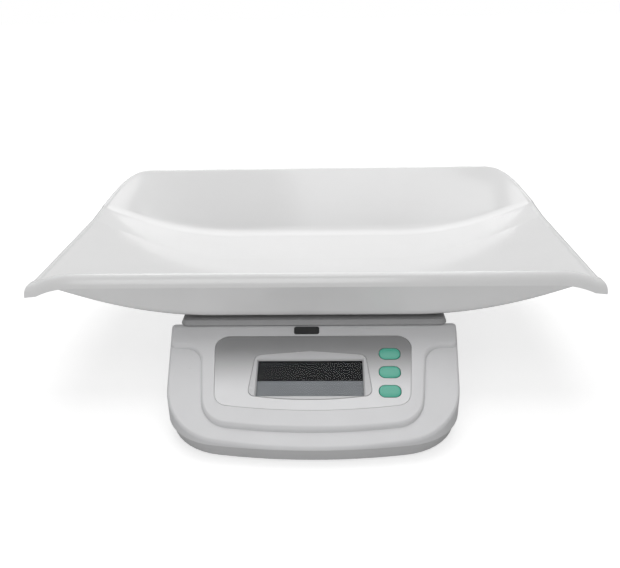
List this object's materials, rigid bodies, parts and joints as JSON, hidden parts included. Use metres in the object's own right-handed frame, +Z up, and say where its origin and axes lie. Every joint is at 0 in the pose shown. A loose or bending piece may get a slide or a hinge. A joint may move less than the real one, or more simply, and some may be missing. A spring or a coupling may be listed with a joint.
{
  "type": "digital baby weighing scale",
  "caption": "Digital baby weighing scale: a curved lift-off tray on a load-cell platform, over a moulded base with a sloping display, push keys and a battery door.",
  "frame": {"origin": "middle of the whole object's box, on the surface that its feet stand on", "axes": "+X along the tray to the right as its user sees it, +Y away from the display to the back, +Z up"},
  "size_m": [0.555, 0.3988, 0.16],
  "materials": {
    "tray_white": "smooth gloss moulding",
    "housing_grey": "fine satin moulding",
    "lower_grey": "fine satin moulding",
    "platform_grey": "fine satin moulding",
    "panel_grey": "smooth semi-gloss overlay",
    "bezel_grey": "smooth gloss moulding",
    "window_clear": "clear acrylic, polished",
    "glass_grey": "liquid-crystal glass with a grey reflector",
    "key_teal": "satin moulding",
    "rubber_black": "matt moulded rubber",
    "aluminium": "machined",
    "steel": "zinc plated",
    "board_green": "solder mask over laminate",
    "chip_black": "matt moulded package",
    "nickel": "nickel plated spring steel",
    "battery_blue": "can in a plain printed sleeve",
    "inner_white": "plain moulding",
    "lead_grey": "matt lead sheath"
  },
  "bodies": {
    "base": {"load_cell": "aluminium", "load_cell_pedestal": "aluminium", "overload_stop": "steel", "chassis_plate": "steel", "upper_housing": "housing_grey", "lower_housing": "lower_grey", "battery_contact_left": "nickel", "battery_contact_right": "nickel", "display_overlay": "panel_grey", "display_bezel": "bezel_grey", "display_window": "window_clear", "display_glass": "glass_grey", "display_holder": "inner_white", "circuit_board": "board_green", "processor": "chip_black", "lead_connector": "inner_white", "power_switch": "chip_black", "zero_switch": "chip_black", "hold_switch": "chip_black", "load_cell_lead": "lead_grey", "foot_1": "rubber_black", "foot_2": "rubber_black", "foot_3": "rubber_black", "foot_4": "rubber_black", "pedestal_screw_1": "steel", "pedestal_screw_2": "steel", "chassis_screw_1": "steel", "chassis_screw_2": "steel", "chassis_screw_3": "steel", "chassis_screw_4": "steel", "housing_screw_1": "steel", "housing_screw_2": "steel", "housing_screw_3": "steel", "housing_screw_4": "steel", "battery_1": "battery_blue", "battery_2": "battery_blue", "battery_3": "battery_blue", "battery_4": "battery_blue"},
    "tray": {"tray": "tray_white"},
    "platform": {"platform_cover": "platform_grey", "platform_bracket": "aluminium", "bracket_spacer": "aluminium", "tray_pad_1": "rubber_black", "tray_pad_2": "rubber_black", "tray_pad_3": "rubber_black", "tray_pad_4": "rubber_black", "cover_screw_1": "steel", "cover_screw_2": "steel", "cover_screw_3": "steel", "cover_screw_4": "steel", "bracket_screw_1": "steel", "bracket_screw_2": "steel"},
    "battery_door": {"battery_door": "lower_grey"},
    "power_key": {"power_key": "key_teal"},
    "zero_key": {"zero_key": "key_teal"},
    "hold_key": {"hold_key": "key_teal"}
  },
  "joints": [
    {"name": "platform_travel", "type": "slide", "parent": "base", "child": "platform", "axis": [0, 0, 1], "range_m": [-0.0005, 0], "stiffness_N_per_m": 60000, "springref_m": 0.0004, "deforming": ["load_cell"]},
    {"name": "tray_lift", "type": "slide", "parent": "platform", "child": "tray", "axis": [0, 0, 1], "range_m": [0, 0.08]},
    {"name": "battery_door_slide", "type": "slide", "parent": "base", "child": "battery_door", "axis": [0, -1, 0], "range_m": [0, 0.01]},
    {"name": "power_key_press", "type": "slide", "parent": "base", "child": "power_key", "axis": [0, 0.3875, -0.9219], "range_m": [0, 0.0008], "stiffness_N_per_m": 250, "springref_m": -0.001},
    {"name": "zero_key_press", "type": "slide", "parent": "base", "child": "zero_key", "axis": [0, 0.3875, -0.9219], "range_m": [0, 0.0008], "stiffness_N_per_m": 250, "springref_m": -0.001},
    {"name": "hold_key_press", "type": "slide", "parent": "base", "child": "hold_key", "axis": [0, 0.3875, -0.9219], "range_m": [0, 0.0008], "stiffness_N_per_m": 250, "springref_m": -0.001}
  ]
}
